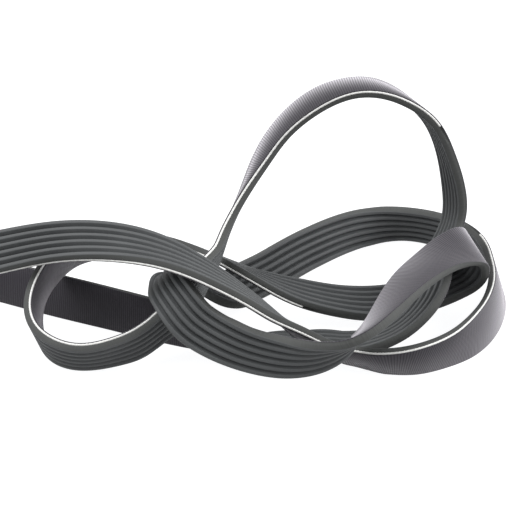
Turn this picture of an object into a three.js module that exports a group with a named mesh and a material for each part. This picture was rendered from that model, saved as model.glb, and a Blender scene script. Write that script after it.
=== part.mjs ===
import * as THREE from 'three';

// An endless ribbed drive belt for a car engine, lying loose in tumbled loops.
// Millimetres, +Z up. The belt rests on the plane Z = 0.

// The belt's section, across its width and through its thickness.
const RIB_COUNT = 6;
const RIB_PITCH = 3.56;
const RIB_HEIGHT = 2.1;
const CREST_WIDTH = 1.5;
const BODY_HEIGHT = 2.1;
const END_RIB_SLOPE = 0.9;

// The tension cord that shows as a white line in the cut edges.
const CORD_DIAMETER = 0.9;
const CORD_DEPTH_FROM_BACK = 1.05;
const CORD_PROUD = 0.06;
const CORD_CLEARANCE = 0.22;
const GROOVE_LIP = 0.02;
const CORD_SIDES = 6;

// How finely the route is stepped.
const LONGEST_STEP = 14;
const CORD_FADE = 0.6;

// From the route's own origin to the middle of the belt's footprint.
const ROUTE_SHIFT_X = 39.14;
const ROUTE_SHIFT_Y = -65.36;

const BELT_WIDTH = RIB_COUNT * RIB_PITCH;
const BELT_THICKNESS = BODY_HEIGHT + RIB_HEIGHT;
const BACK_LEVEL = -BELT_THICKNESS / 2;
const ROOT_LEVEL = BACK_LEVEL + BODY_HEIGHT;
const CREST_LEVEL = BELT_THICKNESS / 2;
const CORD_LEVEL = BACK_LEVEL + CORD_DEPTH_FROM_BACK;

// The route of the belt's middle, chosen by hand: x, y, z, then the direction
// across the belt towards its first edge. The ribs are on the side of across x travel.
const LEFT_BEND = [
  [-126, 77, 11, -0.1, -0.1, -1],
  [-152, 89, 11, 0, 0, -1],
  [-176, 91, 13, 0, 0, -1],
  [-193, 78, 17, 0, -0.1, -1],
  [-195, 58, 25, 0, -0.3, -1],
  [-180, 39, 34, 0.2, -0.4, -0.9],
  [-155, 33, 41, 0.3, -0.6, -0.7],
];
const UPPER_STRAND = [
  [-126, 36, 46, 0.4, -0.7, -0.6],
  [-98, 37, 51.5, 0.2, -0.8, -0.5],
  [-70, 28, 55.5, -0.1, -0.9, -0.4],
  [-45, 15, 55.6, -0.3, -0.93, -0.1],
  [-25, 10, 47.8, -0.4, -0.9, 0.27],
  [-10, 12, 36.8, -0.3, -0.9, 0.46],
  [3, 13, 26, -0.1, -0.9, 0.4],
  [16, 11, 17.5, 0.1, -0.85, 0.55],
  [28, 9, 11, 0.1, -0.8, 0.6],
];
const RIGHT_LOOP = [
  [40, 5, 8.3, 0.1, -0.75, 0.62],
  [52, -1, 9.6, 0.1, -0.65, 0.75],
  [67, -1, 10.5, -0.1, -0.5, 0.8],
  [84, 9, 10.6, -0.2, -0.5, 0.8],
  [97, 24, 10.8, -0.3, -0.4, 0.8],
  [106.5, 42, 10.8, -0.3, -0.4, 0.8],
  [113, 65, 10.7, -0.3, -0.3, 0.9],
  [114.5, 88, 10.5, -0.3, -0.3, 0.9],
  [112, 113, 10.5, -0.2, -0.2, 0.95],
  [98, 137, 10.8, -0.1, -0.2, 1],
];
const BACK_ARC = [
  [73, 150, 11, -0.1, -0.3, 0.95],
  [47, 141, 10.5, -0.2, 0.1, 1],
  [22, 118, 10.5, -0.4, 0.3, 0.85],
  [4, 95, 10, -0.5, 0.3, 0.8],
  [-9, 80, 9.5, -0.5, 0.3, 0.8],
  [-19, 73, 9, -0.4, 0.8, 0.4],
  [-29, 68, 11, -0.3, 1, -0.1],
  [-38.5, 60, 19, -0.2, 0.9, -0.45],
];
const FRONT_LOOP = [
  [-44.5, 43, 31.5, -0.22, 0.78, -0.6],
  [-46, 25, 37.9, -0.5, 0.45, -0.74],
  [-42.8, 9, 39.8, -0.7, 0.05, -0.7],
  [-35, 0, 32.3, -0.7, -0.1, -0.7],
  [-29, -1, 26.5, -0.55, -0.15, -0.8],
  [-19, -3, 21, -0.4, -0.1, -0.9],
  [-8, -4, 16.5, -0.3, 0, -1],
  [6, -7, 14.5, -0.1, 0.1, -1],
  [20, -11, 16.5, 0.1, 0.4, -0.9],
  [32, -15, 23, 0.1, 0.7, -0.7],
];
const BACK_UPWARD_STRAND = [
  [41, -15, 28, 0, 0.9, -0.4],
  [50, -6, 31.5, -0.45, 0.7, -0.55],
  [59, 8, 36, -0.7, 0.57, -0.42],
  [68, 23, 39, -0.77, 0.61, -0.18],
  [78.5, 37, 40.2, -0.8, 0.58, -0.03],
  [88, 49, 40.2, -0.74, 0.6, 0.3],
  [96, 58, 39, -0.45, 0.7, 0.55],
  [100.5, 65, 34, -0.45, 0.75, 0.5],
  [101.3, 69.5, 24, -0.4, 0.8, 0.45],
  [94, 72, 15, -0.3, 0.9, 0.3],
];
const MIDDLE_STRAND = [
  [80, 68, 10.5, -0.3, 0.9, 0.3],
  [64, 62, 9, -0.3, 0.9, 0.3],
  [49, 57, 10, -0.1, 0.9, 0.3],
  [34, 56, 12, 0, 1, 0.2],
  [19, 57, 15, 0.1, 1, 0.1],
  [6, 58, 19, 0.1, 1, -0.1],
  [-8, 61, 24, 0, 0.95, -0.3],
  [-20, 70, 26, 0, 0.9, -0.4],
];
const LEFT_LOOP = [
  [-34, 81, 26, -0.1, 0.85, -0.5],
  [-52, 84, 28, -0.2, 0.7, -0.7],
  [-72, 79, 31, -0.2, 0.6, -0.8],
  [-89, 68, 33.5, 0, 0.6, -0.8],
  [-99, 53, 32.5, 0.1, 0.65, -0.75],
  [-105, 39, 28, 0.1, 0.7, -0.7],
  [-107, 27, 21.5, 0.1, 0.68, -0.73],
  [-104, 15, 15.5, 0.1, 0.63, -0.78],
  [-96, 6, 11.3, 0, 0.57, -0.82],
  [-82, 1, 10, 0, 0.58, -0.8],
  [-67, 4.5, 11.5, 0.05, 0.55, -0.82],
  [-57, 9, 13.3, 0.04, 0.48, -0.87],
  [-49, 15, 17, 0.08, 0.5, -0.85],
  [-41, 16.8, 23.2, 0.1, 0.5, -0.8],
  [-34.6, 19.2, 30.8, 0.14, 0.58, -0.78],
  [-29, 30, 35.8, 0.17, 0.74, -0.6],
];
const TALL_LOOP = [
  [-22.9, 44.5, 39.5, 0.06, 0.9, -0.42],
  [-18.3, 57, 48.5, 0.04, 0.93, -0.33],
  [-10.3, 67, 61.8, -0.03, 0.94, -0.34],
  [-1.3, 75, 77.5, -0.23, 0.94, -0.2],
  [9.5, 79, 92.4, -0.17, 0.95, -0.03],
  [25.2, 82, 104.4, -0.14, 1, 0.06],
  [41, 84, 109.5, 0, 1, 0],
  [55, 85, 108.6, 0, 1, -0.06],
  [68, 88, 101.5, 0.07, 1, -0.26],
  [79.7, 91, 90.5, -0.06, 1, -0.33],
  [87.2, 92, 75, -0.1, 0.9, -0.35],
  [92.2, 93, 57, -0.25, 0.9, -0.35],
  [93.4, 92, 38, -0.3, 0.9, -0.35],
];
const FLOOR_STRAND = [
  [85, 78, 27, -0.3, 0.9, -0.3],
  [79, 52, 18.5, -0.4, 0.9, -0.25],
  [68, 38, 10.5, -0.3, 0.9, -0.25],
  [54, 29, 5.5, -0.3, 0.9, -0.2],
  [36, 29, 2.1, 0, 1, 0],
  [18, 30, 2.1, 0, 1, 0],
  [2, 27, 6, 0, 0.9, -0.4],
  [-10, 24, 8, 0, 0.7, -0.7],
  [-24, 25.5, 10.6, -0.1, 0.2, -1],
  [-47, 35.6, 10.7, -0.2, 0.1, -1],
  [-72, 49, 10.7, -0.2, 0, -1],
  [-98, 62, 10.8, -0.2, -0.1, -1],
];
const ROUTE = [
  ...LEFT_BEND,
  ...UPPER_STRAND,
  ...RIGHT_LOOP,
  ...BACK_ARC,
  ...FRONT_LOOP,
  ...BACK_UPWARD_STRAND,
  ...MIDDLE_STRAND,
  ...LEFT_LOOP,
  ...TALL_LOOP,
  ...FLOOR_STRAND,
];

// Where the route has points by number: the stretch that lies flat on its fabric
// back, and the two stretches where an edge shows its cord.
const FLAT_POINT_OF_FLOOR_STRAND = 4;
const FLAT_FROM = ROUTE.length - FLOOR_STRAND.length + FLAT_POINT_OF_FLOOR_STRAND;
const FLAT_TO = FLAT_FROM + 1;
const FIRST_EDGE_CORD_FROM = 3;
const FIRST_EDGE_CORD_TO = 24;
const SECOND_EDGE_CORD_FROM = 58;
const SECOND_EDGE_CORD_TO = 87;

// A closed cubic B-spline through a ring of number lists, corrected once so that
// it passes close to each of them.
function ringSpline(points) {
  const count = points.length;
  const at = (index) => points[(index + count) % count];
  const controls = points.map((point, i) =>
    point.map((value, k) => value - (at(i - 1)[k] - 2 * value + at(i + 1)[k]) / 6));
  const control = (index) => controls[(index + count) % count];
  return (position) => {
    const i = Math.floor(position);
    const f = position - i;
    const g = 1 - f;
    const weights = [g ** 3, 3 * f ** 3 - 6 * f ** 2 + 4, 1 + 3 * f + 3 * f ** 2 - 3 * f ** 3, f ** 3];
    const slopes = [-(g ** 2), 3 * f ** 2 - 4 * f, 1 + 2 * f - 3 * f ** 2, f ** 2];
    const mix = (factors, scale) => points[0].map((_, k) =>
      factors.reduce((sum, factor, j) => sum + factor * control(i - 1 + j)[k], 0) * scale);
    return { value: mix(weights, 1 / 6), slope: mix(slopes, 1 / 2) };
  };
}

// A station of the belt: its middle, the direction across to the first edge, and the
// direction out of the ribs.
function makeStation(spline, position) {
  const { value, slope } = spline(position);
  const flat = position >= FLAT_FROM && position <= FLAT_TO;
  const centre = new THREE.Vector3(value[0] + ROUTE_SHIFT_X, value[1] + ROUTE_SHIFT_Y, value[2]);
  const travel = new THREE.Vector3(slope[0], slope[1], flat ? 0 : slope[2]).normalize();
  const across = new THREE.Vector3(value[3], value[4], flat ? 0 : value[5]);
  across.addScaledVector(travel, -across.dot(travel)).normalize();
  const out = new THREE.Vector3().crossVectors(across, travel);
  const reach = Math.abs(across.z) * BELT_WIDTH / 2 + Math.abs(out.z) * BELT_THICKNESS / 2;
  centre.z = flat ? BELT_THICKNESS / 2 : Math.max(centre.z, reach);
  return { position, centre, across, out };
}

function makeStations() {
  const rows = ROUTE.map(([x, y, z, ...direction]) => {
    const across = new THREE.Vector3(...direction).normalize();
    return [x, y, z, across.x, across.y, across.z];
  });
  const spline = ringSpline(rows);
  const stations = [];
  rows.forEach((row, i) => {
    const next = rows[(i + 1) % rows.length];
    const gap = Math.hypot(next[0] - row[0], next[1] - row[1], next[2] - row[2]);
    const steps = i === FLAT_FROM ? 1 : Math.ceil(gap / LONGEST_STEP);
    for (let step = 0; step < steps; step += 1) {
      stations.push(makeStation(spline, i + step / steps));
    }
  });
  return stations;
}

// How far the cord's groove is cut at a place on the route: 1 where the cord shows,
// 0 where the edge is closed.
function grooveShare(position, from, to) {
  const inside = Math.min(position - from, to - position);
  return THREE.MathUtils.clamp(inside / CORD_FADE + 1, 0, 1);
}

const CORD_CENTRE = BELT_WIDTH / 2 + CORD_PROUD - CORD_DIAMETER / 2;
const GROOVE_HALF = CORD_DIAMETER / 2 + CORD_CLEARANCE;
const GROOVE_DEPTH = CORD_DIAMETER + CORD_CLEARANCE - CORD_PROUD;

// The belt's outline at one station, seen along the travel with the ribs upward:
// flat fabric back, two cut edges with their cord grooves, and the ribs between.
function beltOutline(position) {
  const half = BELT_WIDTH / 2;
  const first = GROOVE_DEPTH * grooveShare(position, FIRST_EDGE_CORD_FROM, FIRST_EDGE_CORD_TO);
  const second = GROOVE_DEPTH * grooveShare(position, SECOND_EDGE_CORD_FROM, SECOND_EDGE_CORD_TO);
  const outline = [[-half, BACK_LEVEL], [half, BACK_LEVEL]];
  outline.push([half, CORD_LEVEL - GROOVE_HALF]);
  outline.push([half - first, CORD_LEVEL - GROOVE_HALF]);
  outline.push([half - first, CORD_LEVEL + GROOVE_HALF]);
  outline.push([half, CORD_LEVEL + GROOVE_HALF + GROOVE_LIP]);
  outline.push([half, ROOT_LEVEL]);
  for (let rib = 0; rib < RIB_COUNT; rib += 1) {
    const middle = half - (rib + 0.5) * RIB_PITCH;
    const crest = CREST_WIDTH / 2;
    const leftCrest = rib === 0 ? half - END_RIB_SLOPE : middle + crest;
    const rightCrest = rib === RIB_COUNT - 1 ? END_RIB_SLOPE - half : middle - crest;
    outline.push([leftCrest, CREST_LEVEL], [rightCrest, CREST_LEVEL]);
    outline.push([middle - RIB_PITCH / 2, ROOT_LEVEL]);
  }
  outline.push([-half, CORD_LEVEL + GROOVE_HALF + GROOVE_LIP]);
  outline.push([second - half, CORD_LEVEL + GROOVE_HALF]);
  outline.push([second - half, CORD_LEVEL - GROOVE_HALF]);
  outline.push([-half, CORD_LEVEL - GROOVE_HALF]);
  return outline;
}

function cordOutline(side) {
  const outline = [];
  for (let i = 0; i < CORD_SIDES; i += 1) {
    const angle = (i / CORD_SIDES) * 2 * Math.PI;
    const sideways = side * CORD_CENTRE + Math.cos(angle) * CORD_DIAMETER / 2;
    outline.push([sideways, CORD_LEVEL + Math.sin(angle) * CORD_DIAMETER / 2]);
  }
  return outline;
}

// Joins the outlines of successive stations into one closed body: a ring where the
// stations run all the way round, or a rod with flat ends.
function sweep(stations, outlineAt, closed) {
  const positions = [];
  const indices = [];
  const size = outlineAt(stations[0].position).length;
  for (const { position, centre, across, out } of stations) {
    for (const [sideways, upward] of outlineAt(position)) {
      const point = centre.clone().addScaledVector(across, sideways).addScaledVector(out, upward);
      positions.push(point.x, point.y, Math.max(point.z, 0));
    }
  }
  const spans = closed ? stations.length : stations.length - 1;
  for (let i = 0; i < spans; i += 1) {
    const here = i * size;
    const there = ((i + 1) % stations.length) * size;
    for (let k = 0; k < size; k += 1) {
      const next = (k + 1) % size;
      indices.push(here + k, there + k, there + next);
      indices.push(here + k, there + next, here + next);
    }
  }
  if (!closed) {
    const last = (stations.length - 1) * size;
    for (let k = 1; k < size - 1; k += 1) {
      indices.push(0, k, k + 1);
      indices.push(last, last + k + 1, last + k);
    }
  }
  const geometry = new THREE.BufferGeometry();
  geometry.setAttribute('position', new THREE.Float32BufferAttribute(positions, 3));
  geometry.setIndex(indices);
  geometry.computeVertexNormals();
  return geometry;
}

const rubber = new THREE.MeshStandardMaterial({
  name: 'ribbed rubber',
  color: 0x3d4142,
  roughness: 0.62,
  metalness: 0,
});
const cordFibre = new THREE.MeshStandardMaterial({
  name: 'tension cord',
  color: 0xe9e9e4,
  roughness: 0.8,
  metalness: 0,
});

function addMesh(group, name, geometry, material) {
  const mesh = new THREE.Mesh(geometry, material);
  mesh.name = name;
  group.add(mesh);
}

const stations = makeStations();
const group = new THREE.Group();
addMesh(group, 'ribbed_belt', sweep(stations, beltOutline, true), rubber);

function addCord(name, side, from, to) {
  const shown = stations.filter(({ position }) => position >= from && position <= to);
  addMesh(group, name, sweep(shown, () => cordOutline(side), false), cordFibre);
}

addCord('edge_cord_first', 1, FIRST_EDGE_CORD_FROM, FIRST_EDGE_CORD_TO);
addCord('edge_cord_second', -1, SECOND_EDGE_CORD_FROM, SECOND_EDGE_CORD_TO);

export default group;
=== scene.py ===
import math
import bmesh
import bpy
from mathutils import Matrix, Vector


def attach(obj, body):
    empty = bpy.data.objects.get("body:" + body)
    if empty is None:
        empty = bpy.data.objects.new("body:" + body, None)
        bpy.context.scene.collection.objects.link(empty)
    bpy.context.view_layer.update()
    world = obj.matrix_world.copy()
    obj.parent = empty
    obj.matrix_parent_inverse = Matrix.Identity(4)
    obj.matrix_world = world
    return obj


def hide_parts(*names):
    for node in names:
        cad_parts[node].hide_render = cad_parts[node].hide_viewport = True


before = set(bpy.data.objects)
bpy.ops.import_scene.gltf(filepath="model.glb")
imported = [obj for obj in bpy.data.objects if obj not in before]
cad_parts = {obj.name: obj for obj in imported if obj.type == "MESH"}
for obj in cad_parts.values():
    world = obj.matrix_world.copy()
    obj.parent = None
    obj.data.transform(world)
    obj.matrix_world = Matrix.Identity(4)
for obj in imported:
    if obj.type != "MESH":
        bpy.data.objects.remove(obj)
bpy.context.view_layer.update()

scene = bpy.context.scene

# The camera. It looks at the lying belt from the front and a little above, from
# three quarters of a metre away, as the photograph does.
AIM = Vector((0.03914, 0.00464, 0.024))
DISTANCE = 0.75
ELEVATION = math.radians(25)
SENSOR_MILLIMETRES = 36
FOCAL_LENGTH_IN_FRAME_WIDTHS = 2.906
NEAREST_SEEN = 0.01
FARTHEST_SEEN = 50

camera_data = bpy.data.cameras.new("camera")
camera_data.sensor_width = SENSOR_MILLIMETRES
camera_data.lens = SENSOR_MILLIMETRES * FOCAL_LENGTH_IN_FRAME_WIDTHS
camera_data.clip_start = NEAREST_SEEN
camera_data.clip_end = FARTHEST_SEEN
camera = bpy.data.objects.new("camera", camera_data)
camera.location = AIM + DISTANCE * Vector((0, -math.cos(ELEVATION), math.sin(ELEVATION)))
camera.rotation_euler = (math.pi / 2 - ELEVATION, 0, 0)
scene.collection.objects.link(camera)
scene.camera = camera


# The route of the belt. An endless belt that was dropped in loose loops, as a list
# of points along its middle, each with the direction across it towards its first
# edge. The ribs look out on the side of across x travel.
LEFT_BEND = [
    (-0.126, 0.077, 0.011, -0.1, -0.1, -1),
    (-0.152, 0.089, 0.011, 0, 0, -1),
    (-0.176, 0.091, 0.013, 0, 0, -1),
    (-0.193, 0.078, 0.017, 0, -0.1, -1),
    (-0.195, 0.058, 0.025, 0, -0.3, -1),
    (-0.18, 0.039, 0.034, 0.2, -0.4, -0.9),
    (-0.155, 0.033, 0.041, 0.3, -0.6, -0.7),
]
UPPER_STRAND = [
    (-0.126, 0.036, 0.046, 0.4, -0.7, -0.6),
    (-0.098, 0.037, 0.0515, 0.2, -0.8, -0.5),
    (-0.07, 0.028, 0.0555, -0.1, -0.9, -0.4),
    (-0.045, 0.015, 0.0556, -0.3, -0.93, -0.1),
    (-0.025, 0.01, 0.0478, -0.4, -0.9, 0.27),
    (-0.01, 0.012, 0.0368, -0.3, -0.9, 0.46),
    (0.003, 0.013, 0.026, -0.1, -0.9, 0.4),
    (0.016, 0.011, 0.0175, 0.1, -0.85, 0.55),
    (0.028, 0.009, 0.011, 0.1, -0.8, 0.6),
]
RIGHT_LOOP = [
    (0.04, 0.005, 0.0083, 0.1, -0.75, 0.62),
    (0.052, -0.001, 0.0096, 0.1, -0.65, 0.75),
    (0.067, -0.001, 0.0105, -0.1, -0.5, 0.8),
    (0.084, 0.009, 0.0106, -0.2, -0.5, 0.8),
    (0.097, 0.024, 0.0108, -0.3, -0.4, 0.8),
    (0.1065, 0.042, 0.0108, -0.3, -0.4, 0.8),
    (0.113, 0.065, 0.0107, -0.3, -0.3, 0.9),
    (0.1145, 0.088, 0.0105, -0.3, -0.3, 0.9),
    (0.112, 0.113, 0.0105, -0.2, -0.2, 0.95),
    (0.098, 0.137, 0.0108, -0.1, -0.2, 1),
]
BACK_ARC = [
    (0.073, 0.15, 0.011, -0.1, -0.3, 0.95),
    (0.047, 0.141, 0.0105, -0.2, 0.1, 1),
    (0.022, 0.118, 0.0105, -0.4, 0.3, 0.85),
    (0.004, 0.095, 0.01, -0.5, 0.3, 0.8),
    (-0.009, 0.08, 0.0095, -0.5, 0.3, 0.8),
    (-0.019, 0.073, 0.009, -0.4, 0.8, 0.4),
    (-0.029, 0.068, 0.011, -0.3, 1, -0.1),
    (-0.0385, 0.06, 0.019, -0.2, 0.9, -0.45),
]
FRONT_LOOP = [
    (-0.0445, 0.043, 0.0315, -0.22, 0.78, -0.6),
    (-0.046, 0.025, 0.0379, -0.5, 0.45, -0.74),
    (-0.0428, 0.009, 0.0398, -0.7, 0.05, -0.7),
    (-0.035, 0, 0.0323, -0.7, -0.1, -0.7),
    (-0.029, -0.001, 0.0265, -0.55, -0.15, -0.8),
    (-0.019, -0.003, 0.021, -0.4, -0.1, -0.9),
    (-0.008, -0.004, 0.0165, -0.3, 0, -1),
    (0.006, -0.007, 0.0145, -0.1, 0.1, -1),
    (0.02, -0.011, 0.0165, 0.1, 0.4, -0.9),
    (0.032, -0.015, 0.023, 0.1, 0.7, -0.7),
]
BACK_UPWARD_STRAND = [
    (0.041, -0.015, 0.028, 0, 0.9, -0.4),
    (0.05, -0.006, 0.0315, -0.45, 0.7, -0.55),
    (0.059, 0.008, 0.036, -0.7, 0.57, -0.42),
    (0.068, 0.023, 0.039, -0.77, 0.61, -0.18),
    (0.0785, 0.037, 0.0402, -0.8, 0.58, -0.03),
    (0.088, 0.049, 0.0402, -0.74, 0.6, 0.3),
    (0.096, 0.058, 0.039, -0.45, 0.7, 0.55),
    (0.1005, 0.065, 0.034, -0.45, 0.75, 0.5),
    (0.1013, 0.0695, 0.024, -0.4, 0.8, 0.45),
    (0.094, 0.072, 0.015, -0.3, 0.9, 0.3),
]
MIDDLE_STRAND = [
    (0.08, 0.068, 0.0105, -0.3, 0.9, 0.3),
    (0.064, 0.062, 0.009, -0.3, 0.9, 0.3),
    (0.049, 0.057, 0.01, -0.1, 0.9, 0.3),
    (0.034, 0.056, 0.012, 0, 1, 0.2),
    (0.019, 0.057, 0.015, 0.1, 1, 0.1),
    (0.006, 0.058, 0.019, 0.1, 1, -0.1),
    (-0.008, 0.061, 0.024, 0, 0.95, -0.3),
    (-0.02, 0.07, 0.026, 0, 0.9, -0.4),
]
LEFT_LOOP = [
    (-0.034, 0.081, 0.026, -0.1, 0.85, -0.5),
    (-0.052, 0.084, 0.028, -0.2, 0.7, -0.7),
    (-0.072, 0.079, 0.031, -0.2, 0.6, -0.8),
    (-0.089, 0.068, 0.0335, 0, 0.6, -0.8),
    (-0.099, 0.053, 0.0325, 0.1, 0.65, -0.75),
    (-0.105, 0.039, 0.028, 0.1, 0.7, -0.7),
    (-0.107, 0.027, 0.0215, 0.1, 0.68, -0.73),
    (-0.104, 0.015, 0.0155, 0.1, 0.63, -0.78),
    (-0.096, 0.006, 0.0113, 0, 0.57, -0.82),
    (-0.082, 0.001, 0.01, 0, 0.58, -0.8),
    (-0.067, 0.0045, 0.0115, 0.05, 0.55, -0.82),
    (-0.057, 0.009, 0.0133, 0.04, 0.48, -0.87),
    (-0.049, 0.015, 0.017, 0.08, 0.5, -0.85),
    (-0.041, 0.0168, 0.0232, 0.1, 0.5, -0.8),
    (-0.0346, 0.0192, 0.0308, 0.14, 0.58, -0.78),
    (-0.029, 0.03, 0.0358, 0.17, 0.74, -0.6),
]
TALL_LOOP = [
    (-0.0229, 0.0445, 0.0395, 0.06, 0.9, -0.42),
    (-0.0183, 0.057, 0.0485, 0.04, 0.93, -0.33),
    (-0.0103, 0.067, 0.0618, -0.03, 0.94, -0.34),
    (-0.0013, 0.075, 0.0775, -0.23, 0.94, -0.2),
    (0.0095, 0.079, 0.0924, -0.17, 0.95, -0.03),
    (0.0252, 0.082, 0.1044, -0.14, 1, 0.06),
    (0.041, 0.084, 0.1095, 0, 1, 0),
    (0.055, 0.085, 0.1086, 0, 1, -0.06),
    (0.068, 0.088, 0.1015, 0.07, 1, -0.26),
    (0.0797, 0.091, 0.0905, -0.06, 1, -0.33),
    (0.0872, 0.092, 0.075, -0.1, 0.9, -0.35),
    (0.0922, 0.093, 0.057, -0.25, 0.9, -0.35),
    (0.0934, 0.092, 0.038, -0.3, 0.9, -0.35),
]
FLOOR_STRAND = [
    (0.085, 0.078, 0.027, -0.3, 0.9, -0.3),
    (0.079, 0.052, 0.0185, -0.4, 0.9, -0.25),
    (0.068, 0.038, 0.0105, -0.3, 0.9, -0.25),
    (0.054, 0.029, 0.0055, -0.3, 0.9, -0.2),
    (0.036, 0.029, 0.0021, 0, 1, 0),
    (0.018, 0.03, 0.0021, 0, 1, 0),
    (0.002, 0.027, 0.006, 0, 0.9, -0.4),
    (-0.01, 0.024, 0.008, 0, 0.7, -0.7),
    (-0.024, 0.0255, 0.0106, -0.1, 0.2, -1),
    (-0.047, 0.0356, 0.0107, -0.2, 0.1, -1),
    (-0.072, 0.049, 0.0107, -0.2, 0, -1),
    (-0.098, 0.062, 0.0108, -0.2, -0.1, -1),
]
ROUTE = (LEFT_BEND + UPPER_STRAND + RIGHT_LOOP + BACK_ARC + FRONT_LOOP
         + BACK_UPWARD_STRAND + MIDDLE_STRAND + LEFT_LOOP + TALL_LOOP + FLOOR_STRAND)
ROUTE_SHIFT = Vector((0.03914, -0.06536, 0))
RIB_COUNT = 6
RIB_PITCH = 0.00356
BELT_WIDTH = RIB_COUNT * RIB_PITCH
BELT_THICKNESS = 0.0042


def corrected(rows):
    """The controls of a ring spline that passes close to every row."""
    controls = []
    for i, row in enumerate(rows):
        before = rows[i - 1]
        after = rows[(i + 1) % len(rows)]
        controls.append([v - (a - 2 * v + b) / 6 for a, v, b in zip(before, row, after)])
    return controls


def normalised(row):
    """A row whose direction across has length one."""
    across = Vector(row[3:]).normalized()
    return [*row[:3], *across]


CONTROLS = corrected([normalised(row) for row in ROUTE])


def spline_at(position):
    """The route's numbers and their slopes at a place counted in route points."""
    i = math.floor(position)
    f = position - i
    g = 1 - f
    weights = (g ** 3, 3 * f ** 3 - 6 * f ** 2 + 4, 1 + 3 * f + 3 * f ** 2 - 3 * f ** 3, f ** 3)
    slopes = (-(g ** 2), 3 * f ** 2 - 4 * f, 1 + 2 * f - 3 * f ** 2, f ** 2)
    near = [CONTROLS[(i + j - 1) % len(CONTROLS)] for j in range(4)]
    value = [sum(w * row[k] for w, row in zip(weights, near)) / 6 for k in range(6)]
    slope = [sum(w * row[k] for w, row in zip(slopes, near)) / 2 for k in range(3)]
    return value, slope


def station_at(position):
    """The belt's middle, its direction across and its direction out of the ribs."""
    value, slope = spline_at(position % len(ROUTE))
    travel = Vector(slope).normalized()
    across = Vector(value[3:])
    across = (across - across.dot(travel) * travel).normalized()
    out = across.cross(travel)
    centre = Vector(value[:3]) + ROUTE_SHIFT
    reach = abs(across.z) * BELT_WIDTH / 2 + abs(out.z) * BELT_THICKNESS / 2
    centre.z = max(centre.z, reach)
    return centre, across, out


def lengths_along(stations):
    """How far each station is from the first one, along the route."""
    lengths = [0.0]
    for (here, _, _), (there, _, _) in zip(stations, stations[1:]):
        lengths.append(lengths[-1] + (there - here).length)
    return lengths


MERGE_DISTANCE = 1e-7
HALF_GRID = 0.5


def swept(name, stations, outline_at, ring, finish_of_side=None):
    """A skin of square faces over the outlines of successive stations. Its UV map
    holds the metres along the route and the metres across the belt."""
    lengths = lengths_along(stations)
    outlines = [outline_at(i) for i in range(len(stations))]
    steps = len(stations) - 1
    sides = len(outlines[0])
    mesh = bmesh.new()
    uv = mesh.loops.layers.uv.new("route")
    bmesh.ops.create_grid(
        mesh, x_segments=steps, y_segments=sides, size=HALF_GRID, calc_uvs=True)
    for vertex in mesh.verts:
        i = round((vertex.co.x + HALF_GRID) * steps)
        k = round((vertex.co.y + HALF_GRID) * sides) % sides
        centre, across, out = stations[i]
        sideways, upward = outlines[i][k]
        vertex.co = centre + sideways * across + upward * out
        vertex.co.z = max(vertex.co.z, 0)
    for face in mesh.faces:
        side = min(round(loop[uv].uv.y * sides) for loop in face.loops)
        for loop in face.loops:
            along, around = loop[uv].uv
            i = round(along * steps)
            k = round(around * sides) % sides
            loop[uv].uv = (lengths[i], outlines[i][k][0])
        face.smooth = True
        if finish_of_side:
            face.material_index = finish_of_side(side)
    bmesh.ops.remove_doubles(mesh, verts=mesh.verts, dist=MERGE_DISTANCE)
    if not ring:
        bmesh.ops.holes_fill(mesh, edges=mesh.edges, sides=0)
    bmesh.ops.recalc_face_normals(mesh, faces=mesh.faces)
    data = bpy.data.meshes.new(name)
    mesh.to_mesh(data)
    mesh.free()
    piece = bpy.data.objects.new(name, data)
    scene.collection.objects.link(piece)
    return piece


# The ribbed belt. One endless moulding of black rubber with six ribs, with woven
# fabric vulcanised on its back. Its edges are cut, and where a cut has let the
# tension cord out there is a narrow groove for it.
HALF_WIDTH = BELT_WIDTH / 2
BACK_LEVEL = -BELT_THICKNESS / 2
CREST_LEVEL = BELT_THICKNESS / 2
BODY_HEIGHT = 0.0021
ROOT_LEVEL = BACK_LEVEL + BODY_HEIGHT
HALF_CREST = 0.00075
END_RIB_SLOPE = 0.0009
CORD_RADIUS = 0.00045
CORD_DEPTH_FROM_BACK = 0.00105
CORD_LEVEL = BACK_LEVEL + CORD_DEPTH_FROM_BACK
GROOVE_HALF = 0.0006
GROOVE_DEPTH = 0.00085
GROOVE_FLOOR_SHARE = 0.8
CLOSED_GROOVE_SHARE = 0.02
CORD_STRETCHES = {1: (3, 24), -1: (58, 87)}
CORD_FADE = 0.6
STEPS_PER_POINT = 10
BACK_ROUNDING = 0.00018
EDGE_TOP_RISE = 0.0001
CREST_INSET = 0.00025
CREST_CORNER_STEP = 0.00003
CREST_CORNER_DROP = 0.00008
CREST_SIDE_STEP = 0.00011
CREST_SIDE_DROP = 0.0003
VALLEY_HALF = 0.00022
VALLEY_SIDE_RISE = 0.00024
VALLEY_FLOOR_RISE = 0.00004
SHARP_ANGLE = math.radians(50)

belt_places = [i / STEPS_PER_POINT for i in range(len(ROUTE) * STEPS_PER_POINT + 1)]
belt_stations = [station_at(place) for place in belt_places]


def groove_depth(side, place):
    """How deep the cord's groove is: full where the cord shows, nothing elsewhere."""
    start, end = CORD_STRETCHES[side]
    inside = min(place - start, end - place) / CORD_FADE + 1
    return GROOVE_DEPTH * min(max(inside, CLOSED_GROOVE_SHARE), 1)


def edge_profile(side, place):
    """A cut edge from the back's corner up to the rib root."""
    wall = HALF_WIDTH
    floor = wall - groove_depth(side, place)
    return [
        (side * (wall - BACK_ROUNDING), BACK_LEVEL),
        (side * wall, BACK_LEVEL + BACK_ROUNDING),
        (side * wall, CORD_LEVEL - GROOVE_HALF),
        (side * floor, CORD_LEVEL - GROOVE_HALF * GROOVE_FLOOR_SHARE),
        (side * floor, CORD_LEVEL + GROOVE_HALF * GROOVE_FLOOR_SHARE),
        (side * wall, CORD_LEVEL + GROOVE_HALF),
        (side * wall, ROOT_LEVEL + EDGE_TOP_RISE),
    ]


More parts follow.
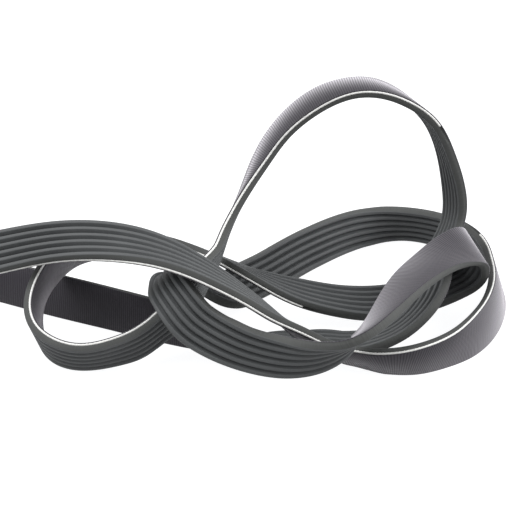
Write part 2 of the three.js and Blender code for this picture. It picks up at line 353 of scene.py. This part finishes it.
def rib_profile(rib):
    """A rib's rounded crest, then the rounded valley beside it."""
    middle = HALF_WIDTH - (rib + 0.5) * RIB_PITCH
    first = HALF_WIDTH - END_RIB_SLOPE if rib == 0 else middle + HALF_CREST
    last = END_RIB_SLOPE - HALF_WIDTH if rib == RIB_COUNT - 1 else middle - HALF_CREST
    points = [
        (first + CREST_SIDE_STEP, CREST_LEVEL - CREST_SIDE_DROP),
        (first - CREST_CORNER_STEP, CREST_LEVEL - CREST_CORNER_DROP),
        (first - CREST_INSET, CREST_LEVEL),
        (last + CREST_INSET, CREST_LEVEL),
        (last + CREST_CORNER_STEP, CREST_LEVEL - CREST_CORNER_DROP),
        (last - CREST_SIDE_STEP, CREST_LEVEL - CREST_SIDE_DROP),
    ]
    if rib < RIB_COUNT - 1:
        valley = middle - RIB_PITCH / 2
        points.append((valley + VALLEY_HALF, ROOT_LEVEL + VALLEY_SIDE_RISE))
        points.append((valley, ROOT_LEVEL + VALLEY_FLOOR_RISE))
        points.append((valley - VALLEY_HALF, ROOT_LEVEL + VALLEY_SIDE_RISE))
    return points


def belt_outline(i):
    """The whole section at a station, from the middle of the back round to it again."""
    place = belt_places[i]
    outline = [(0.0, BACK_LEVEL), *edge_profile(1, place)]
    for rib in range(RIB_COUNT):
        outline.extend(rib_profile(rib))
    outline.extend(reversed(edge_profile(-1, place)))
    return outline


class Value:
    """A socket of a shader, so that its maths reads as an expression."""

    def __init__(self, tree, socket):
        self.tree = tree
        self.socket = socket

    def plus_node(self, kind, settings, output, **inputs):
        """Any other node: its settings first, then its sockets' values or links."""
        node = self.tree.nodes.new(kind)
        for name, value in settings.items():
            setattr(node, name, value)
        for name, value in inputs.items():
            key = int(name[1:]) if name[1:].isdigit() else name.replace("_", " ")
            if isinstance(value, Value):
                self.tree.links.new(value.socket, node.inputs[key])
            else:
                node.inputs[key].default_value = value
        return Value(self.tree, node.outputs[output])

    def math(self, operation, *operands):
        """One Math node on these operands."""
        inputs = {f"i{k}": operand for k, operand in enumerate(operands)}
        return self.plus_node("ShaderNodeMath", {"operation": operation}, 0, **inputs)

    def __add__(self, other):
        return self.math("ADD", self, other)

    def __radd__(self, other):
        return self.math("ADD", other, self)

    def __sub__(self, other):
        return self.math("SUBTRACT", self, other)

    def __rsub__(self, other):
        return self.math("SUBTRACT", other, self)

    def __mul__(self, other):
        return self.math("MULTIPLY", self, other)

    def __rmul__(self, other):
        return self.math("MULTIPLY", other, self)

    def __truediv__(self, other):
        return self.math("DIVIDE", self, other)

    def mixed(self, first, second):
        """One colour where this value is 0, the other where it is 1."""
        settings = {"data_type": "RGBA", "clamp_factor": True}
        return self.plus_node("ShaderNodeMix", settings, 2, i0=self, i6=first, i7=second)

    def noise(self, vector, scale, detail, roughness):
        """Cloudy noise from 0 to 1 over the given coordinates."""
        inputs = {"Vector": vector, "Scale": scale, "Detail": detail, "Roughness": roughness}
        return self.plus_node("ShaderNodeTexNoise", {}, 0, **inputs)

    def ranged(self, low, high):
        """Runs from 0 to 1, smoothly, as this value goes from low to high."""
        settings = {"interpolation_type": "SMOOTHSTEP"}
        inputs = {"From_Min": low, "From_Max": high}
        return self.plus_node("ShaderNodeMapRange", settings, 0, Value=self, **inputs)


def new_finish(name):
    """A material with its shader, and the two places that its pattern may read."""
    material = bpy.data.materials.new(name)
    material.use_nodes = True
    tree = material.node_tree
    shader = tree.nodes["Principled BSDF"]
    start = Value(tree, None)
    place = start.plus_node("ShaderNodeTexCoord", {}, "Object")
    route = start.plus_node("ShaderNodeUVMap", {"uv_map": "route"}, 0)
    return material, shader, place, route


def stretched(route, along, across):
    """The route's map with each direction at its own scale."""
    settings = {"operation": "MULTIPLY"}
    return route.plus_node("ShaderNodeVectorMath", settings, 0, i0=route, i1=(along, across, 1))


def finished(shader, colour, roughness, bump, height):
    """Links what changes over the surface. The bump's height is in metres."""
    links = shader.id_data.links
    links.new(colour.socket, shader.inputs["Base Color"])
    links.new(roughness.socket, shader.inputs["Roughness"])
    inputs = {"Height": bump, "Distance": height, "Strength": 1.0}
    normal = bump.plus_node("ShaderNodeBump", {}, 0, **inputs)
    links.new(normal.socket, shader.inputs["Normal"])


CLOUD_RANGE = (0.3, 0.7)
VALLEY_SHADE_RANGE = (0.02, 0.2)
FLECK_RANGE = (0.55, 0.8)
# Painted shade: the darker colours of the thin lines at the bottom of each valley.
VALLEY_SHADE_DARK = (0.044, 0.047, 0.049, 1)
VALLEY_SHADE_PALE = (0.058, 0.062, 0.064, 1)
RIB_DARK = (0.065, 0.069, 0.072, 1)
RIB_PALE = (0.086, 0.091, 0.094, 1)
FLECK_COLOUR = (0.135, 0.14, 0.143, 1)
STREAK_SCALES = (14, 2600)
GRAIN_SCALE = 2600
RUBBER_CLOUD_SCALE = 38
RUBBER_BUMP = 0.00006


def make_rubber():
    """Ribbed rubber: ground ribs with fine flecks of fibre, and painted shade as thin dark
    lines at the very bottom of the valleys, with faint streaks along the ribs and a fine grain."""
    material, shader, place, route = new_finish("ribbed rubber")
    across = route.plus_node("ShaderNodeSeparateXYZ", {}, "Y", Vector=route)
    phase = route.math("PINGPONG", across + HALF_WIDTH, RIB_PITCH / 2) / (RIB_PITCH / 2)
    # Painted shade mask: 0 at a valley's bottom, rising to 1 just above it on the ribs.
    above_root = phase.ranged(*VALLEY_SHADE_RANGE)
    streaks = route.noise(stretched(route, *STREAK_SCALES), 1.0, 3, 0.6)
    grain = place.noise(place, GRAIN_SCALE, 3, 0.6)
    cloud = place.noise(place, RUBBER_CLOUD_SCALE, 3, 0.5)
    valley = streaks.ranged(*CLOUD_RANGE).mixed(VALLEY_SHADE_DARK, VALLEY_SHADE_PALE)
    rib = cloud.ranged(*CLOUD_RANGE).mixed(RIB_DARK, RIB_PALE)
    flecked = grain.ranged(*FLECK_RANGE).mixed(rib, FLECK_COLOUR)
    colour = above_root.mixed(valley, flecked)
    roughness = 0.5 + 0.2 * cloud + 0.12 * grain
    finished(shader, colour, roughness, grain + streaks * 0.5, RUBBER_BUMP)
    return material


THREAD_PITCH = 0.0011
SLANT_PITCH = 0.00085
THREAD_WANDER = 0.0006
WANDER_SCALE = 90
THREAD_SHARE = 0.8
SLANT_SHARE = 0.2
GAP_DARK = (0.025, 0.023, 0.028, 1)
GAP_PALE = (0.033, 0.03, 0.037, 1)
THREAD_DARK = (0.046, 0.043, 0.052, 1)
THREAD_PALE = (0.06, 0.056, 0.067, 1)
SHEEN_TINT = (0.96, 0.93, 1, 1)
FABRIC_CLOUD_SCALE = 30
FABRIC_BUMP = 0.00012
# Painted sheen: a pale shader mixed into the fabric where it is seen at a flat angle.
PAINTED_SHEEN_COLOUR = (0.74, 0.715, 0.765, 1)
PAINTED_SHEEN_ROUGHNESS = 0.9
PAINTED_SHEEN_STEEPNESS = 4
PAINTED_SHEEN_IN_GAPS = 0.4


def waves(distance, pitch):
    """Runs smoothly from 0 to 1 and back once in every pitch."""
    return distance.math("SINE", distance * (2 * math.pi / pitch)) * 0.5 + 0.5


def make_fabric():
    """The woven back: fine cross threads with a twill slant, purple grey. Where it is seen
    at a flat angle a pale colour is mixed in, more on the threads: a painted sheen."""
    material, shader, place, route = new_finish("fabric back")
    shader.inputs["Specular IOR Level"].default_value = 0.25
    shader.inputs["Sheen Weight"].default_value = 0.15
    shader.inputs["Sheen Roughness"].default_value = 0.3
    shader.inputs["Sheen Tint"].default_value = SHEEN_TINT
    wander = (place.noise(place, WANDER_SCALE, 2, 0.5) - 0.5) * THREAD_WANDER
    along = route.plus_node("ShaderNodeSeparateXYZ", {}, "X", Vector=route)
    across = route.plus_node("ShaderNodeSeparateXYZ", {}, "Y", Vector=route)
    threads = waves(along + wander, THREAD_PITCH)
    slant = waves(along + across + wander, SLANT_PITCH)
    weave = threads * THREAD_SHARE + slant * SLANT_SHARE
    cloud = place.noise(place, FABRIC_CLOUD_SCALE, 3, 0.5)
    gap = cloud.ranged(*CLOUD_RANGE).mixed(GAP_DARK, GAP_PALE)
    thread = cloud.ranged(*CLOUD_RANGE).mixed(THREAD_DARK, THREAD_PALE)
    roughness = 0.7 - 0.2 * weave
    finished(shader, weave.mixed(gap, thread), roughness, weave, FABRIC_BUMP)
    # Painted sheen: the pale shader's share grows as the surface is seen more flatly.
    facing = route.plus_node("ShaderNodeLayerWeight", {}, "Facing", Blend=0.5)
    on_threads = PAINTED_SHEEN_IN_GAPS + (1 - PAINTED_SHEEN_IN_GAPS) * threads
    painted_sheen_share = route.math("POWER", facing, PAINTED_SHEEN_STEEPNESS) * on_threads
    painted_sheen = route.plus_node(
        "ShaderNodeBsdfPrincipled", {}, 0, Base_Color=PAINTED_SHEEN_COLOUR, Roughness=PAINTED_SHEEN_ROUGHNESS)
    body = Value(route.tree, shader.outputs[0])
    both = route.plus_node("ShaderNodeMixShader", {}, 0, i0=painted_sheen_share, i1=body, i2=painted_sheen)
    output = route.tree.nodes["Material Output"]
    route.tree.links.new(both.socket, output.inputs["Surface"])
    return material


SAW_MARK_SCALES = (2600, 300)
SAW_MARK_RANGE = (0.35, 0.75)
EDGE_CLOUD_SCALE = 60
EDGE_DARK = (0.047, 0.049, 0.048, 1)
EDGE_PALE = (0.063, 0.066, 0.064, 1)
SAW_MARK_COLOUR = (0.076, 0.079, 0.077, 1)
EDGE_BUMP = 0.00002


def make_cut_edge():
    """The cut edge: sawn rubber, a little duller than the ribs, with saw marks."""
    material, shader, place, route = new_finish("cut edge")
    marks = route.noise(stretched(route, *SAW_MARK_SCALES), 1.0, 3, 0.6)
    cloud = place.noise(place, EDGE_CLOUD_SCALE, 2, 0.5)
    plain = cloud.ranged(*CLOUD_RANGE).mixed(EDGE_DARK, EDGE_PALE)
    colour = marks.ranged(*SAW_MARK_RANGE).mixed(plain, SAW_MARK_COLOUR)
    finished(shader, colour, 0.65 + 0.2 * marks, marks, EDGE_BUMP)
    return material


FABRIC_SIDES = 3
EDGE_SIDES = 5
OUTLINE_SIDES = len(belt_outline(0))
RUBBER_SLOT = 0
FABRIC_SLOT = 1
EDGE_SLOT = 2


def belt_finish(side):
    """Which finish a face of the outline has, counted from the middle of the back."""
    from_back = min(side, OUTLINE_SIDES - 1 - side)
    if from_back < FABRIC_SIDES:
        return FABRIC_SLOT
    if from_back < FABRIC_SIDES + EDGE_SIDES:
        return EDGE_SLOT
    return RUBBER_SLOT


belt = swept("belt", belt_stations, belt_outline, True, belt_finish)
for finish in (make_rubber(), make_fabric(), make_cut_edge()):
    belt.data.materials.append(finish)
belt.data.set_sharp_from_angle(angle=SHARP_ANGLE)
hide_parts("ribbed_belt")
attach(belt, "root")


# The tension cord. Stiff white polyester, three plies twisted together. It lies in
# the groove of a cut edge, on one edge round the right and on the other over the top.
CORD_SIDES = 12
CORD_PLIES = 3
TWIST_LENGTH = 0.0042
CORD_STEP = 0.0008
CORD_INSET = 0.0002
CORD_CENTRE = HALF_WIDTH - CORD_INSET
PLY_REACH = 1.12
PLY_SWING = 0.16
FIBRE_SCALE = 700
FIBRE_SHADED = (0.82, 0.82, 0.8, 1)
FIBRE_WHITE = (0.97, 0.97, 0.95, 1)
FIBRE_BUMP = 0.00005


def make_cord_fibre():
    """Off-white polyester, a little greyed in fine patches."""
    material, shader, place, _ = new_finish("tension cord")
    shade = place.noise(place, FIBRE_SCALE, 3, 0.6)
    colour = shade.ranged(*CLOUD_RANGE).mixed(FIBRE_SHADED, FIBRE_WHITE)
    finished(shader, colour, 0.6 + 0.2 * shade, shade, FIBRE_BUMP)
    return material


def make_cord(name, node, side, material):
    """The stretch of cord that shows on one edge, its plies turning along it."""
    start, end = CORD_STRETCHES[side]
    coarse = [p for p in belt_places if start <= p <= end]
    length = lengths_along([station_at(p) for p in coarse])[-1]
    count = round(length / CORD_STEP)
    places = [start + (end - start) * i / count for i in range(count + 1)]
    stations = [station_at(p) for p in places]
    lengths = lengths_along(stations)

    def outline(i):
        points = []
        for k in range(CORD_SIDES):
            angle = 2 * math.pi * k / CORD_SIDES
            twist = CORD_PLIES * (angle - 2 * math.pi * lengths[i] / TWIST_LENGTH)
            radius = CORD_RADIUS * (PLY_REACH + PLY_SWING * math.cos(twist))
            sideways = side * CORD_CENTRE + radius * math.cos(angle)
            points.append((sideways, CORD_LEVEL + radius * math.sin(angle)))
        return points

    piece = swept(name, stations, outline, False)
    piece.data.materials.append(material)
    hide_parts(node)
    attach(piece, "root")


cord_fibre = make_cord_fibre()
make_cord("cord_right", "edge_cord_first", 1, cord_fibre)
make_cord("cord_top", "edge_cord_second", -1, cord_fibre)


# The floor. A plain matt white surface, wide enough for every view.
FLOOR_HALF = 12
FLOOR_GLOW = 0.95
FLOOR_LEVEL = -0.00005
FLOOR_COLOUR = (0.3, 0.3, 0.3, 1)
GLOW_COLOUR = (0.985, 0.99, 1, 1)
SHOWING_RAYS = ("Is Camera Ray", "Is Glossy Ray", "Is Transmission Ray")


def shown(start):
    """1 for what is seen, straight, mirrored or through glass, and 0 for what only lights."""
    rays = [start.plus_node("ShaderNodeLightPath", {}, ray) for ray in SHOWING_RAYS]
    return start.math("MINIMUM", rays[0] + rays[1] + rays[2], 1.0)


def make_floor_finish():
    """Matt white that takes the belt's shadows. Its glow is only shown, so it makes the
    floor white without lighting the belt from below."""
    material = bpy.data.materials.new("white floor")
    material.use_nodes = True
    tree = material.node_tree
    shader = tree.nodes["Principled BSDF"]
    shader.inputs["Base Color"].default_value = FLOOR_COLOUR
    shader.inputs["Roughness"].default_value = 0.9
    shader.inputs["Specular IOR Level"].default_value = 0
    start = Value(tree, None)
    glow = start.plus_node(
        "ShaderNodeEmission", {}, 0, Color=GLOW_COLOUR, Strength=FLOOR_GLOW)
    dark = start.plus_node("ShaderNodeEmission", {}, 0, Strength=0.0)
    lit = start.plus_node("ShaderNodeMixShader", {}, 0, i0=shown(start), i1=dark, i2=glow)
    paint = Value(tree, shader.outputs[0])
    whole = start.plus_node("ShaderNodeAddShader", {}, 0, i0=paint, i1=lit)
    output = tree.nodes["Material Output"]
    tree.links.new(whole.socket, output.inputs["Surface"])
    return material


def make_floor():
    """One flat square under everything."""
    mesh = bmesh.new()
    bmesh.ops.create_grid(mesh, x_segments=1, y_segments=1, size=FLOOR_HALF)
    bmesh.ops.translate(mesh, vec=(0, 0, FLOOR_LEVEL), verts=mesh.verts)
    data = bpy.data.meshes.new("floor")
    mesh.to_mesh(data)
    mesh.free()
    floor = bpy.data.objects.new("floor", data)
    scene.collection.objects.link(floor)
    floor.data.materials.append(make_floor_finish())


make_floor()


# The light. A white studio: even light from all round, a large soft lamp above on
# the left and a smaller one low on the right.
LAMP_AIM = Vector((0, 0, 0.03))
AMBIENT = 0.64


def make_lamp(name, place, size, power):
    """A soft square lamp that points at the belt. Its power is in watts."""
    data = bpy.data.lights.new(name, "AREA")
    data.shape = "SQUARE"
    data.size = size
    data.energy = power
    lamp = bpy.data.objects.new(name, data)
    lamp.location = place
    lamp.rotation_euler = (LAMP_AIM - Vector(place)).to_track_quat("-Z", "Y").to_euler()
    scene.collection.objects.link(lamp)


make_lamp("lamp on the left", (-0.6, -0.1, 0.95), 0.8, 9)
make_lamp("lamp on the right", (0.9, -0.05, 0.4), 0.6, 7)

world = bpy.data.worlds.new("white studio")
world.use_nodes = True
scene.world = world
background = world.node_tree.nodes["Background"]
background.inputs["Color"].default_value = (1, 1, 1, 1)
strength = AMBIENT + shown(Value(world.node_tree, None)) * (1 - AMBIENT)
world.node_tree.links.new(strength.socket, background.inputs["Strength"])

scene.view_settings.view_transform = "Standard"
